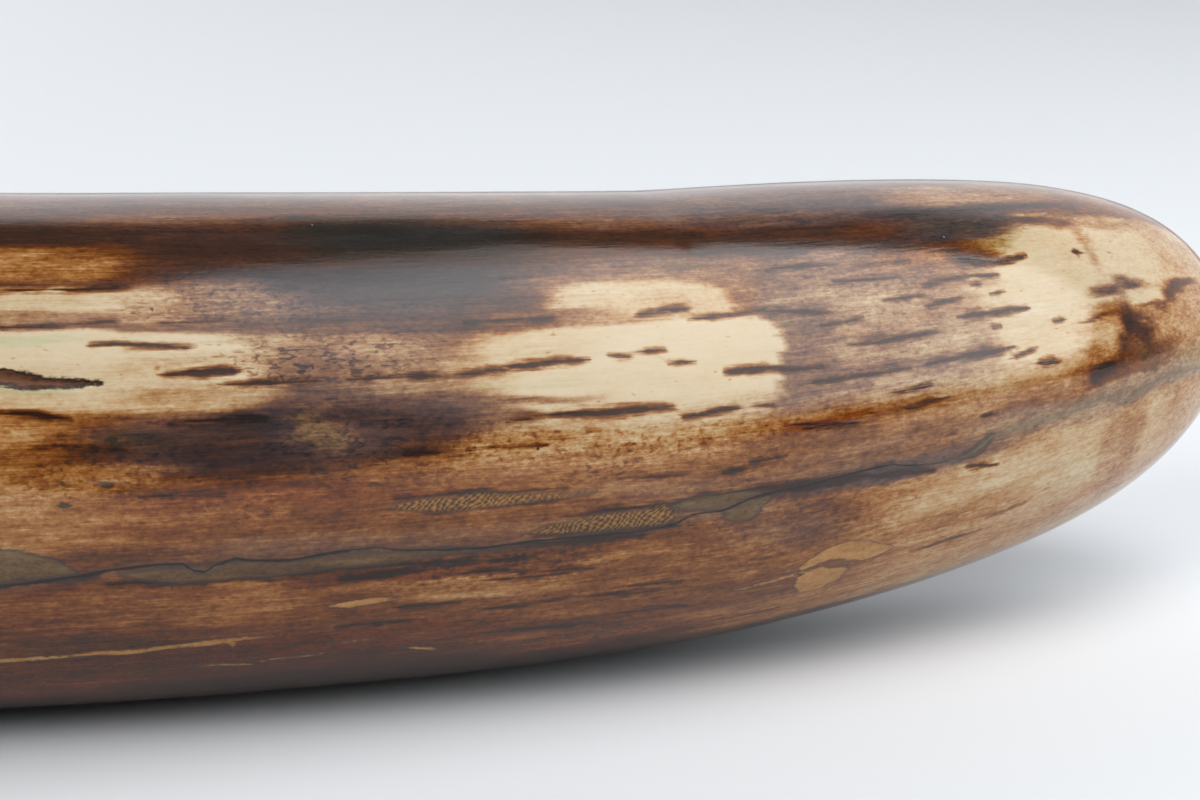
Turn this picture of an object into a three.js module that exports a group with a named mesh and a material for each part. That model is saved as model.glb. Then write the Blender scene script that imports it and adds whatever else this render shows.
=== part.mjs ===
// A mammoth tusk, polished, lying on its side curve: one solid piece of ivory.
//
// The tusk is a round, slowly thickening horn of ivory bent along a logarithmic
// spiral that lies flat. Its blunt nose is at the +X end and lifts a little from the
// ground. Its thick end was sawn off square, and that cut is a flat face.
//
// Frame: millimetres, +Z up. The origin is the middle of the bottom of the tusk's
// bounding box, and the outer side of the bend faces -Y.

import * as THREE from "three";

// Driving dimensions, in millimetres and degrees.
const LENGTH = 480; // along the centreline, from the nose to the sawn face
const NOSE_HEADING = 37; // plan angle between the centreline at the nose and +X
const NOSE_BEND_RADIUS = 243; // plan radius of the bend at the nose
const BEND_GROWTH = 0.9; // bend radius gained per mm of centreline
const NOSE_BODY_RADIUS = 25.1; // body radius carried forward to the nose, without its rounding
const TAPER = 0.0182; // body radius gained per mm of centreline
const NOSE_ROUNDING_LENGTH = 27.6; // distance over which the nose rounds off
const NOSE_ROUNDING_POWER = 2.16; // 2 is a round nose, more is blunter
const NOSE_LIFT = 5.1; // height of the underside above the ground, carried to the nose
const LIFT_LENGTH = 78; // the underside is on the ground past this distance
const LIFT_POWER = 1.25;
const SAWN_EDGE_RADIUS = 2.5; // worn edge around the sawn face

// Fineness of the faceted solid.
const SIDES = 48;
const NOSE_RINGS = 26; // rings over the rounded nose
const NOSE_RINGS_END = 70; // mm from the nose
const NOSE_RING_CROWDING = 2.4; // 1 spaces the nose rings evenly, more crowds them to its point
const BODY_RINGS = 66;
const EDGE_RINGS = 4;

const IVORY = new THREE.MeshStandardMaterial({
  name: "polished_mammoth_ivory",
  color: 0x8a6238,
  roughness: 0.22,
  metalness: 0,
});

// Heading of the centreline in plan, in radians, at a distance s from the nose.
function heading(s) {
  const growth = 1 + (BEND_GROWTH * s) / NOSE_BEND_RADIUS;
  return THREE.MathUtils.degToRad(NOSE_HEADING) - Math.log(growth) / BEND_GROWTH;
}

// Plan place of the centreline at a distance s from the nose, which is at 0, 0.
// The bend radius grows evenly with s, so this is the closed form of a logarithmic spiral.
function plan(s) {
  const growth = 1 + (BEND_GROWTH * s) / NOSE_BEND_RADIUS;
  const turn = Math.log(growth) / BEND_GROWTH;
  const a = growth * Math.cos(turn) - 1;
  const b = -growth * Math.sin(turn);
  const scale = NOSE_BEND_RADIUS / BEND_GROWTH / (1 + 1 / BEND_GROWTH ** 2);
  const along = (a - b / BEND_GROWTH) * scale;
  const across = (b + a / BEND_GROWTH) * scale;
  const start = THREE.MathUtils.degToRad(NOSE_HEADING);
  const x = -(along * Math.cos(start) - across * Math.sin(start));
  const y = -(along * Math.sin(start) + across * Math.cos(start));
  return new THREE.Vector2(x, y);
}

// Radius of the body, as if the nose were not rounded off.
function bodyRadius(s) {
  return NOSE_BODY_RADIUS + TAPER * s;
}

// Radius of the tusk's round section.
function radius(s) {
  const rounding = (1 - Math.exp(-s / NOSE_ROUNDING_LENGTH)) ** (1 / NOSE_ROUNDING_POWER);
  return bodyRadius(s) * rounding;
}

// Centre of the section.
function centre(s) {
  const lift = NOSE_LIFT * Math.max(1 - s / LIFT_LENGTH, 0) ** LIFT_POWER;
  const { x, y } = plan(s);
  return new THREE.Vector3(x, y, bodyRadius(s) + lift);
}

// Rise of the centreline per mm.
function slope(s) {
  const left = Math.max(1 - s / LIFT_LENGTH, 0);
  return TAPER - ((NOSE_LIFT * LIFT_POWER) / LIFT_LENGTH) * left ** (LIFT_POWER - 1);
}

// The section's own directions: inner is level and points to the hollow side of the
// bend, back runs along the centreline to the sawn end, and up is square to both.
function sectionAxes(s) {
  const h = heading(s);
  const inner = new THREE.Vector3(-Math.sin(h), Math.cos(h), 0);
  const back = new THREE.Vector3(-Math.cos(h), -Math.sin(h), slope(s)).normalize();
  const up = new THREE.Vector3().crossVectors(inner, back);
  return { inner, up, back };
}

// Distances from the nose at which rings are placed, each with its radius.
function ringList() {
  const rings = [];
  for (let i = 1; i <= NOSE_RINGS; i++) {
    const s = NOSE_RINGS_END * (i / NOSE_RINGS) ** NOSE_RING_CROWDING;
    rings.push({ s, r: radius(s) });
  }
  const bodyEnd = LENGTH - SAWN_EDGE_RADIUS;
  for (let i = 1; i <= BODY_RINGS; i++) {
    const s = THREE.MathUtils.lerp(NOSE_RINGS_END, bodyEnd, i / BODY_RINGS);
    rings.push({ s, r: radius(s) });
  }
  for (let i = 1; i <= EDGE_RINGS; i++) {
    const angle = (i / EDGE_RINGS) * (Math.PI / 2);
    const s = bodyEnd + SAWN_EDGE_RADIUS * Math.sin(angle);
    rings.push({ s, r: radius(bodyEnd) - SAWN_EDGE_RADIUS * (1 - Math.cos(angle)) });
  }
  return rings;
}

// One closed skin: a point at the nose, rings joined by quads, and the sawn face.
// The edge rings keep the sawn face's axes, so that the face is flat.
function tuskGeometry() {
  const points = [centre(0)];
  const rings = ringList();
  const sawn = sectionAxes(LENGTH);
  const sawnCentre = centre(LENGTH);
  for (const { s, r } of rings) {
    const inEdge = s > LENGTH - SAWN_EDGE_RADIUS;
    const { inner, up } = inEdge ? sawn : sectionAxes(s);
    const middle = inEdge ? sawnCentre.clone().addScaledVector(sawn.back, s - LENGTH) : centre(s);
    for (let j = 0; j < SIDES; j++) {
      const angle = (j / SIDES) * 2 * Math.PI;
      const point = middle.clone();
      point.addScaledVector(inner, r * Math.cos(angle));
      point.addScaledVector(up, r * Math.sin(angle));
      points.push(point);
    }
  }
  points.push(sawnCentre);

  const ringPoint = (ring, side) => 1 + ring * SIDES + (side % SIDES);
  const last = points.length - 1;
  const index = [];
  for (let j = 0; j < SIDES; j++) {
    index.push(0, ringPoint(0, j), ringPoint(0, j + 1));
    for (let i = 0; i < rings.length - 1; i++) {
      const a = ringPoint(i, j);
      const b = ringPoint(i, j + 1);
      const c = ringPoint(i + 1, j);
      const d = ringPoint(i + 1, j + 1);
      index.push(a, c, d, a, d, b);
    }
    index.push(last, ringPoint(rings.length - 1, j + 1), ringPoint(rings.length - 1, j));
  }

  const geometry = new THREE.BufferGeometry().setFromPoints(points);
  geometry.setIndex(index);

  // The origin goes to the middle of the bottom of the bounding box.
  geometry.computeBoundingBox();
  const { min, max } = geometry.boundingBox;
  geometry.translate(-(min.x + max.x) / 2, -(min.y + max.y) / 2, -min.z);
  geometry.computeVertexNormals();
  return geometry;
}

const tusk = new THREE.Mesh(tuskGeometry(), IVORY);
tusk.name = "tusk";

const part = new THREE.Group();
part.name = "mammoth_tusk";
part.add(tusk);

export default part;
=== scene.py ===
"""A polished mammoth tusk lying on its side: one closed skin of stained ivory.

The skin is a round section carried along a flat logarithmic spiral. Its stains, drying
cracks, slits and mineral fillings are laid out in two measures that follow the tusk: s,
the distance from the nose in millimetres, and phi, the angle around the section in
degrees, which is 0 on the outer side of the bend, 90 on top and -90 underneath.
"""

import bpy
import numpy as np
from mathutils import Matrix, Vector


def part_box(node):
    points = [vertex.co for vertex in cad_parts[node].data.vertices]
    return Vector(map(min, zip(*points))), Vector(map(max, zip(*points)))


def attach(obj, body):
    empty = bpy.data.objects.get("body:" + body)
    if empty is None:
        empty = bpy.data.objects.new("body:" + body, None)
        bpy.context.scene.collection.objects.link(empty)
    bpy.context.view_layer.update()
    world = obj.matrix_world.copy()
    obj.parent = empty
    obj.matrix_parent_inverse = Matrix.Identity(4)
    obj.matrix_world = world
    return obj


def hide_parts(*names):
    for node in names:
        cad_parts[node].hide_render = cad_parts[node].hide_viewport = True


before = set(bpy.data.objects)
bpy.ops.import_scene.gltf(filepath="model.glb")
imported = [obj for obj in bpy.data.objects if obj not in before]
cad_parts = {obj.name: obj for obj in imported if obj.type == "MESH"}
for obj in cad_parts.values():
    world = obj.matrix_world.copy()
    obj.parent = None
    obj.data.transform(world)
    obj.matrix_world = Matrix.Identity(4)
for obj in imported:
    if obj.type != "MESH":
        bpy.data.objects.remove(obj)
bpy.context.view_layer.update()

MM = 0.001

# The tusk's driving dimensions, in millimetres and degrees, as the solid has them.
LENGTH = 480.0
NOSE_HEADING = 37.0
NOSE_BEND_RADIUS = 243.0
BEND_GROWTH = 0.9
NOSE_BODY_RADIUS = 25.1
TAPER = 0.0182
NOSE_ROUNDING_LENGTH = 27.6
NOSE_ROUNDING_POWER = 2.16
NOSE_LIFT = 5.1
LIFT_LENGTH = 78.0
LIFT_POWER = 1.25
SAWN_EDGE_RADIUS = 2.5

# Fineness of the skin: its points crowd on the nose and on the outer side of the bend. Ends and
# fades are in mm along the tusk, the fine side and its fade in degrees around it.
AROUND = 400
NOSE_ROWS = 34
NEAR_ROWS = 150
FAR_ROWS = 36
EDGE_ROWS = 6
FACE_ROWS = 10
NOSE_ROWS_END = 14.0
NOSE_ROWS_CROWDING = 2.0
NEAR_ROWS_END = 166.0
FAR_ROWS_GAIN = 3
FAR_ROWS_FADE = 30
FINE_SIDE = (-92.0, 112.0)
FINE_SIDE_GAIN = 3.0
FINE_SIDE_FADE = 12


# ---------------------------------------------------------------- shape

def bend(s):
    """Heading and plan place at s: the bend radius grows evenly from the nose, so the track is a
    growing complex number raised to a complex power, the closed form of a logarithmic spiral."""
    growth = 1 + BEND_GROWTH * s / NOSE_BEND_RADIUS
    start = np.radians(NOSE_HEADING)
    power = 1 - 1j / BEND_GROWTH
    track = np.exp(1j * start) * NOSE_BEND_RADIUS / BEND_GROWTH * (growth**power - 1) / power
    return start - np.log(growth) / BEND_GROWTH, -track.real, -track.imag


def section_radius(s):
    """Radius at s: an even taper times one minus a falling exponential, to a root that blunts the nose."""
    rounding = 1 - np.exp(-s / NOSE_ROUNDING_LENGTH)
    return (NOSE_BODY_RADIUS + TAPER * s) * rounding ** (1 / NOSE_ROUNDING_POWER)


def centre_and_axes(s):
    """Centre of the section at s, and its level inner, upper and backward directions, as rows."""
    heading, x, y = bend(s)
    left = np.clip(1 - s / LIFT_LENGTH, 0, None)
    z = NOSE_BODY_RADIUS + TAPER * s + NOSE_LIFT * left**LIFT_POWER
    slope = TAPER - NOSE_LIFT * LIFT_POWER / LIFT_LENGTH * left ** (LIFT_POWER - 1)
    inner = np.stack([-np.sin(heading), np.cos(heading), 0 * heading], -1)
    back = np.stack([-np.cos(heading), -np.sin(heading), slope], -1)
    back /= np.linalg.norm(back, axis=-1, keepdims=True)
    return np.stack([x, y, z], -1), inner, np.cross(inner, back), back


def crowded(low, high, count, weight):
    """count + 1 places from low to high, closer together where the weight function is high:
    the weight is added up along the span and read backwards at even steps."""
    fine = np.linspace(low, high, 4001)
    total = np.cumsum(weight(fine))
    total = (total - total[0]) / (total[-1] - total[0])
    return np.interp(np.linspace(0, 1, count + 1), total, fine)


def smooth(t):
    """0 up to 0 and 1 from 1 on, with three t squared less two t cubed between."""
    t = np.clip(t, 0, 1)
    return t * t * (3 - 2 * t)


def rows_of_skin():
    """Distance and radius of every ring, and whether it belongs to the sawn end: crowded on the nose,
    even past it, wider to the sawn end, a quarter circle round the worn edge, and shrinking rings
    over the sawn face."""
    nose = NOSE_ROWS_END * (np.arange(1, NOSE_ROWS + 1) / NOSE_ROWS) ** NOSE_ROWS_CROWDING
    near = np.linspace(NOSE_ROWS_END, NEAR_ROWS_END, NEAR_ROWS + 1)[1:]
    body_end = LENGTH - SAWN_EDGE_RADIUS

    def weight(s):
        return 1 + FAR_ROWS_GAIN * np.exp(-(s - NEAR_ROWS_END) / FAR_ROWS_FADE)

    far = crowded(NEAR_ROWS_END, body_end, FAR_ROWS, weight)[1:]
    body = np.concatenate([nose, near, far])
    quarter = np.arange(1, EDGE_ROWS + 1) / EDGE_ROWS * np.pi / 2
    edge = body_end + SAWN_EDGE_RADIUS * np.sin(quarter)
    edge_radius = section_radius(body_end) - SAWN_EDGE_RADIUS * (1 - np.cos(quarter))
    face_radius = edge_radius[-1] * (1 - np.arange(1, FACE_ROWS) / FACE_ROWS)
    s = np.concatenate([body, edge, np.full(FACE_ROWS - 1, LENGTH)])
    radius = np.concatenate([section_radius(body), edge_radius, face_radius])
    return s, radius, s > body_end


def columns_of_skin():
    """Angles around the section, in degrees, crowded over the fine side."""
    low, high = FINE_SIDE

    def weight(phi):
        rise = smooth((phi - low + FINE_SIDE_FADE) / FINE_SIDE_FADE)
        fall = smooth((high + FINE_SIDE_FADE - phi) / FINE_SIDE_FADE)
        return 1 + FINE_SIDE_GAIN * (rise * fall)

    return crowded(-180, 180, AROUND, weight)[:-1]


row_s, row_radius, row_flat = rows_of_skin()
S, PHI = np.meshgrid(row_s, columns_of_skin(), indexing="ij")
RADIUS = np.repeat(row_radius[:, None], AROUND, 1)
# The straightened skin: each point's place if the tusk were straight, for patterns that run
# along it and close without a seam.
STRAIGHT = np.stack([S, -RADIUS * np.cos(np.radians(PHI)), RADIUS * np.sin(np.radians(PHI))], -1)
ON_FACE = (S >= LENGTH - 1e-6) & (RADIUS < section_radius(LENGTH) - SAWN_EDGE_RADIUS)


# ---------------------------------------------------------------- painting

WAVE_COUNT = 28
STROKE_ROUNDNESS = 3.6  # 2 makes the painted strokes ellipses, more makes them rounded boxes
FAR_OFF = 3.0  # mm past which a mark's distance or depth isn't told apart


def waves(size, stretch, seed):
    """Smooth noise about -1 to 1 on the straightened skin: the sum of sine waves of random
    directions and lengths near size mm, drawn out along the tusk by stretch."""
    rng = np.random.default_rng(seed)
    direction = rng.normal(size=(WAVE_COUNT, 3))
    direction /= np.linalg.norm(direction, axis=1, keepdims=True)
    number = direction * (2 * np.pi / (size * rng.uniform(0.7, 1.8, (WAVE_COUNT, 1))))
    number[:, 0] /= stretch
    phase = rng.uniform(0, 2 * np.pi, WAVE_COUNT)
    return np.sin(STRAIGHT @ number.T + phase).sum(-1) / np.sqrt(WAVE_COUNT) * 0.9


def turn(angle, phi):
    """Angle from phi on to another angle, the short way round."""
    return (angle - phi + 180) % 360 - 180


def arc(degrees):
    """Length in mm on the skin of an angle around the section."""
    return np.radians(degrees) * RADIUS


# Places read through a wander, so that painted edges break up into strands along the tusk. On the
# nose the wander is weaker, because its rings are small.
COMB = waves(1.3, 9, 15) + 0.7 * waves(0.8, 6, 16)
STEADY = 0.3 + 0.7 * smooth((S - 34) / 30)
S_WARPED = S + STEADY * (1.0 * waves(9, 2.5, 11) + 0.6 * waves(3, 2.0, 12) + 0.4 * COMB)
PHI_WARPED = PHI + (0.45 * waves(7, 5, 13) + 0.25 * waves(2.2, 4, 14)) / np.maximum(np.radians(RADIUS), 0.05)


def paint(field, strokes):
    """Lays soft strokes on a field. Each is (s, phi, half length, half height, value, softness):
    full inside a rounded box of that size, fading to nothing over the softness."""
    for s, phi, half_s, half_phi, value, soft in strokes:
        along = np.abs(S_WARPED - s) / half_s
        around = np.abs(turn(PHI_WARPED, phi)) / half_phi
        reach = (along**STROKE_ROUNDNESS + around**STROKE_ROUNDNESS) ** (1 / STROKE_ROUNDNESS)
        cover = smooth((1 + soft - reach) / (2 * soft))
        field += (value - field) * cover
    return field


def ribbon(points, wander, seed):
    """Depth in mm inside a ribbon, negative outside it. Its points are (s, phi, half width in mm)
    from the sawn end to the nose; its middle line and width run straight from one to the next."""
    s, phi, half = np.array(points, float)[::-1].T
    middle = np.interp(S, s, phi)
    width = np.interp(S, s, half)
    off = arc(turn(PHI, middle)) + wander * waves(2.2, 2.5, seed)
    past = np.maximum(np.maximum(s[0] - S, S - s[-1]), 0)
    return width - np.abs(off) - past


def blob(s, phi, half_s, half_mm, wander, seed):
    """Depth in mm inside a rounded patch, negative outside it."""
    reach = np.hypot((S - s) / half_s, arc(turn(PHI, phi)) / half_mm)
    return (1 - reach) * min(half_s, half_mm) + wander * waves(2.0, 1.5, seed)


def tick(s, low, high, lean, width):
    """Depth in mm inside a short lens-shaped mark that stands across the grain, negative outside it."""
    half = np.radians(high - low) / 2 * RADIUS
    along = arc(PHI - (low + high) / 2)
    across = S - s - lean * along / half
    thick = width / 2 * np.sqrt(np.clip(1 - (along / half) ** 2, 0.05, 1))
    return thick - np.abs(across) - np.clip(np.abs(along) - half, 0, None)


def deepest(*fields):
    """One field that is inside wherever any of them is."""
    return np.clip(np.maximum.reduce(fields), -FAR_OFF, FAR_OFF)


def slit_fields(marks, wander):
    """Two fields for lens-shaped slits that thin to their ends: the distance in mm from the nearest
    slit's middle line, and that slit's half width there, which is negative past its ends."""
    off = np.full_like(S, FAR_OFF)
    half = np.full_like(S, -FAR_OFF)
    for s_sawn, phi_sawn, s_nose, phi_nose, width in marks:
        middle = (s_sawn + s_nose) / 2
        reach = (s_sawn - s_nose) / 2
        t = np.clip((S - s_nose) / (s_sawn - s_nose), -0.5, 1.5)
        line = phi_nose + (phi_sawn - phi_nose) * t
        across = np.abs(arc(turn(PHI, line)) + wander)
        past = np.clip(np.abs(S - middle) - reach, 0, None)
        thin = width / 2 * np.sqrt(np.clip(1 - ((S - middle) / reach) ** 2, 0, 1)) - past
        nearer = (across - thin < off - half) & (across < FAR_OFF)
        off = np.where(nearer, across, off)
        half = np.where(nearer, thin, half)
    return off, half


# Stain runs from 0, clean cream ivory, through amber and orange-brown, to 1, black-brown.
STAIN_ROUND = [  # (phi, stain)
    (-180, 0.70), (-150, 0.60), (-120, 0.72), (-90, 0.86), (-70, 0.88), (-58, 0.84), (-48, 0.77),
    (-38, 0.73), (-28, 0.66), (-18, 0.64), (-8, 0.62), (4, 0.60), (12, 0.62), (30, 0.66), (45, 0.74),
    (56, 0.84), (63, 0.90), (69, 0.86), (75, 0.76), (82, 0.64), (100, 0.60), (130, 0.66), (160, 0.72),
    (180, 0.70),
]

STAIN_STROKES = [
    # upper band and the amber patch over the sawn-end side
    (146, 59, 9.5, 6, 0.44, 0.35), (139, 63, 5, 3, 0.56, 0.5), (128, 64, 9, 4, 0.88, 0.4),
    (131, 76, 10, 2.5, 0.62, 0.6), (88, 62, 14, 3, 0.83, 0.6), (106, 66, 12, 6, 0.93, 0.5),
    (88, 75, 14, 3, 0.68, 0.7), (66, 62, 14, 3, 0.85, 0.6), (76, 70, 22, 3, 0.64, 0.6),
    (70, 57.0, 10, 2.0, 0.88, 0.7), (54, 57, 9, 3, 0.82, 0.5),
    # dark mauve field between the cream windows
    (113, 51, 15, 9, 0.88, 0.35), (112, 42, 15, 5, 0.76, 0.4), (130, 51, 6, 3, 0.60, 0.6),
    (128.5, 46.5, 8, 3.5, 0.52, 0.6), (118, 33, 9, 5.5, 0.64, 0.5), (110, 25, 8, 4, 0.62, 0.6),
    (122, 25.5, 9, 2.6, 0.56, 0.7), (116, 37.5, 9, 1.2, 0.50, 0.8), (130, 29.5, 5, 1.2, 0.30, 0.8),
    (123, 40.8, 10, 0.8, 0.62, 0.8),
    # cream window on the sawn-end side
    (144, 47.5, 10, 3.6, 0.14, 0.3), (136, 46.5, 3, 2.4, 0.30, 0.7), (143, 43, 13, 1.3, 0.42, 0.6),
    (142, 37, 17.5, 3.9, 0.05, 0.2), (143, 33.5, 14, 3, 0.06, 0.4), (141, 27.5, 17, 4.6, 0.13, 0.3),
    (131, 33.2, 7, 2.2, 0.18, 0.6), (131, 25.5, 8, 2.4, 0.28, 0.6), (121, 38.6, 6, 0.8, 0.40, 0.8),
    (149, 23.5, 6, 2.5, 0.20, 0.6), (148, 18.5, 7, 4, 0.42, 0.5), (148, 14.5, 8, 2.5, 0.54, 0.6),
    (148, 9, 9, 4, 0.47, 0.6),
    # dark blotch below it, with a tan island
    (130, 15.5, 13.5, 5.2, 0.78, 0.35), (127, 13, 12, 2.4, 0.86, 0.6), (114.5, 18.5, 8.5, 6.2, 0.80, 0.4),
    (125, 19.5, 5, 2, 0.86, 0.6), (119.2, 17.5, 2.2, 4.4, 0.56, 0.6), (126, 9, 10, 1.6, 0.84, 0.6),
    (133.5, 6.4, 5.5, 0.8, 0.40, 0.8), (138, 10.5, 5, 1.4, 0.50, 0.8), (112, 11.2, 4, 0.9, 0.86, 0.7),
    # copper-brown belt
    (143, 3, 9, 7, 0.45, 0.5), (134, 1, 7, 5, 0.53, 0.6), (119, 2, 11, 6, 0.63, 0.5),
    (104, 7, 7, 2.2, 0.48, 0.6), (106, 3.5, 9, 1.8, 0.56, 0.7), (129, 5.7, 12, 1.1, 0.72, 0.8),
    # middle cream window
    (108, 34.0, 8, 4.2, 0.50, 0.5), (106, 25.6, 9, 3.2, 0.36, 0.6), (107, 21.8, 8, 1.2, 0.62, 0.8),
    (83, 53, 12, 3.5, 0.56, 0.6), (84, 49.5, 11, 2.0, 0.42, 0.7), (84, 33, 17, 6.4, 0.02, 0.12),
    (84.8, 44, 9.6, 4.4, 0.14, 0.2), (85, 24, 17.5, 6.4, 0.04, 0.15), (99, 34.5, 5, 3.0, 0.20, 0.8),
    (101, 30.5, 5, 1.4, 0.14, 0.8), (84, 16.5, 15.5, 3, 0.17, 0.5), (99, 21.4, 6, 0.8, 0.46, 0.9),
    (87, 12.5, 14.5, 2.6, 0.30, 0.6), (100, 12, 5, 2, 0.46, 0.6), (100, 9.4, 5.5, 1.6, 0.34, 0.7),
    (86, 7.5, 16, 2.8, 0.45, 0.6), (84, 3, 16, 2, 0.56, 0.7), (83.0, 43.6, 3.0, 2.0, 0.20, 0.8),
    (78.2, 43.6, 1.8, 2.2, 0.12, 0.6), (96.5, 36, 6, 3, 0.09, 0.7), (101, 21, 6, 1.0, 0.56, 0.9),
    (99.5, 17.6, 3.5, 0.9, 0.56, 0.9), (95, 41, 6, 1.2, 0.60, 0.7),
    # streaky field towards the nose
    (59, 31, 12.7, 25, 0.52, 0.05), (73.5, 47, 1.8, 7, 0.50, 0.5), (60, 38.5, 5.6, 3.4, 0.32, 0.7),
    (57, 33, 5, 3, 0.36, 0.7), (55, 25.5, 7, 2.4, 0.34, 0.7), (62, 25.6, 5, 1.6, 0.38, 0.8),
    (64, 43, 5, 1.2, 0.40, 0.8), (67.5, 30, 2.6, 8, 0.60, 0.7), (66, 14, 5, 2, 0.54, 0.7),
    (56, 14.5, 9, 3, 0.38, 0.7), (65, 7, 8, 2, 0.60, 0.6), (54, 7, 8, 2.4, 0.46, 0.6),
    (62, 50, 10, 3, 0.54, 0.7), (58, 46.5, 7, 1.3, 0.46, 0.8), (60, 30.2, 5, 1.0, 0.36, 0.8),
    (62, 17.6, 6, 1.0, 0.42, 0.8), (52, 17.6, 6, 1.4, 0.32, 0.8), (66.5, 17.5, 4, 1.0, 0.62, 0.8),
    # cream of the nose, its amber lower edge and the dark cap above
    (47, 34, 6, 6, 0.34, 0.6), (41, 34, 6, 7, 0.13, 0.5), (44, 43.6, 5, 2.2, 0.36, 0.7),
    (33, 43, 9.5, 16.5, 0.08, 0.2), (38.5, 21, 7.5, 9, 0.11, 0.3), (21, 45, 12.5, 14, 0.12, 0.3),
    (12, 50, 6, 16, 0.28, 0.5), (30.5, 16, 3.5, 6, 0.27, 0.6), (15.5, 18, 7, 12, 0.39, 0.4),
    (22, 28, 4, 4, 0.10, 0.7), (21, 59, 6, 4, 0.26, 0.7), (43, 13.5, 9, 2.6, 0.26, 0.7),
    (46, 8, 9, 2.6, 0.46, 0.6), (37, 7, 5, 2.4, 0.50, 0.6), (47, 60.5, 10, 6.5, 0.76, 0.35),
    (52, 54.5, 7, 2.2, 0.82, 0.6), (42.5, 50, 2.2, 4, 0.62, 0.7), (30, 64.5, 9, 3.2, 0.68, 0.5),
    (38, 78, 10, 6, 0.34, 0.5), (16, 74, 10, 9, 0.62, 0.6), (27, 84, 12, 8, 0.52, 0.6),
    (32.5, 64.2, 2.6, 0.9, 0.22, 0.7), (28, 62.6, 1.6, 0.7, 0.25, 0.7), (40, 52.5, 2.4, 2.6, 0.34, 0.7),
    (22, 60.5, 6, 3, 0.32, 0.7),
    # stain that stands on the long crack, soft-edged
    (28.4, 32, 2.3, 1.7, 0.70, 0.6), (24.6, 34, 2.1, 1.8, 0.70, 0.6), (26.4, 29.0, 0.8, 3, 0.46, 0.8),
    (25.6, 36.8, 1.1, 1.4, 0.60, 0.8), (31.4, 23.8, 1.8, 0.6, 0.88, 0.5),
    (26.3, 23.5, 0.8, 3.6, 0.78, 0.6), (26.2, 18.5, 1.6, 4, 0.90, 0.5), (26.0, 13, 2.8, 4, 0.84, 0.4),
    (26.2, 12.5, 1.2, 2.6, 0.66, 0.7), (25.4, 8.6, 4.2, 3, 0.80, 0.5), (25.6, 11.5, 0.9, 3, 0.66, 0.8),
    (32.2, 12.5, 1.3, 3.4, 0.56, 0.8), (31.2, 7.2, 2.4, 2.4, 0.98, 0.5), (28.5, 5.8, 4.5, 1.8, 0.82, 0.5),
    (20.5, 7.0, 5.0, 2.4, 0.66, 0.6), (22.5, 25, 1.6, 1.0, 0.68, 0.6), (20.2, 24, 1.3, 1.4, 0.66, 0.6),
    (18.5, 28.2, 1.0, 3.2, 0.84, 0.5), (17, 32.0, 1.3, 2.0, 0.86, 0.5), (14.8, 34.4, 2.3, 1.7, 0.84, 0.5),
    (15, 6, 7, 7, 0.72, 0.4), (27.8, 50, 0.6, 9, 0.32, 0.8), (29.4, 58.8, 1.8, 1.6, 0.70, 0.7),
    (28.2, 53.5, 0.5, 3.0, 0.40, 0.9),
    # the shade along the crack, and the skin below it
    (33, 1, 18, 2.6, 0.44, 0.6), (54, -6.5, 9, 2.6, 0.74, 0.6), (70, -6, 9, 2.6, 0.74, 0.6),
    (94, -12, 12, 2.0, 0.80, 0.6), (114, -14.4, 12, 1.4, 0.84, 0.6), (133, -15.4, 7, 0.8, 0.80, 0.8),
    (147, -20, 10, 7, 0.64, 0.5), (134, -21, 8, 6, 0.58, 0.6), (126, -22, 6, 7, 0.47, 0.7),
    (117, -18, 5, 3, 0.66, 0.7), (112, -17, 7, 1.3, 0.84, 0.8), (104, -16.5, 9, 2.2, 0.72, 0.6),
    (92, -14.5, 8, 2.2, 0.78, 0.7), (106, -20.2, 8, 1.3, 0.46, 0.8), (97, -23.5, 11, 2.4, 0.52, 0.7),
    (103, -24.8, 6, 1.2, 0.40, 0.8), (84, -18, 9, 7, 0.62, 0.6), (90, -17.5, 4, 1.0, 0.48, 0.8),
    (78, -26, 7, 3.4, 0.62, 0.7), (91, -29.5, 9, 2.4, 0.60, 0.7), (94, -33.6, 5, 1.4, 0.50, 0.8),
    (84, -33.6, 5, 1.6, 0.64, 0.8), (66, -17, 8, 5.5, 0.66, 0.6), (55, -18, 7, 7, 0.40, 0.6),
    (56, -11, 5, 2.5, 0.42, 0.8), (45, -15, 11, 9, 0.24, 0.5), (46, -27, 13, 7, 0.40, 0.6),
    (56, -35, 8, 1.6, 0.56, 0.8), (43, -28, 4.5, 1.1, 0.54, 0.9), (62, -48, 16, 8, 0.46, 0.5),
    (48, -46, 10, 14, 0.34, 0.6), (76, -37, 8, 5, 0.70, 0.7), (79, -42, 5, 2.6, 0.52, 0.8),
    (92, -42, 9, 4, 0.72, 0.7), (95, -50.5, 5, 2, 0.50, 0.8), (99, -41.6, 4, 1.0, 0.52, 0.8),
    (90, -46.6, 10, 1.8, 0.60, 0.8), (143, -50, 7, 4, 0.64, 0.8), (120, -45, 14, 4, 0.78, 0.7),
    (118, -55, 20, 5, 0.90, 0.8), (28, -18, 15, 17, 0.21, 0.4), (12, -14, 8, 16, 0.46, 0.5),
    (30, -45, 20, 14, 0.36, 0.5), (27, -22, 2.0, 22, 0.44, 0.8), (30.5, -14, 0.9, 12, 0.42, 0.9),
    (18, -10, 2.4, 9, 0.40, 0.9), (10, -10, 9, 36, 0.32, 0.4), (144, -26, 10, 0.8, 0.74, 0.8),
    (138, -29, 16, 1.0, 0.74, 0.8),
]

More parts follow.
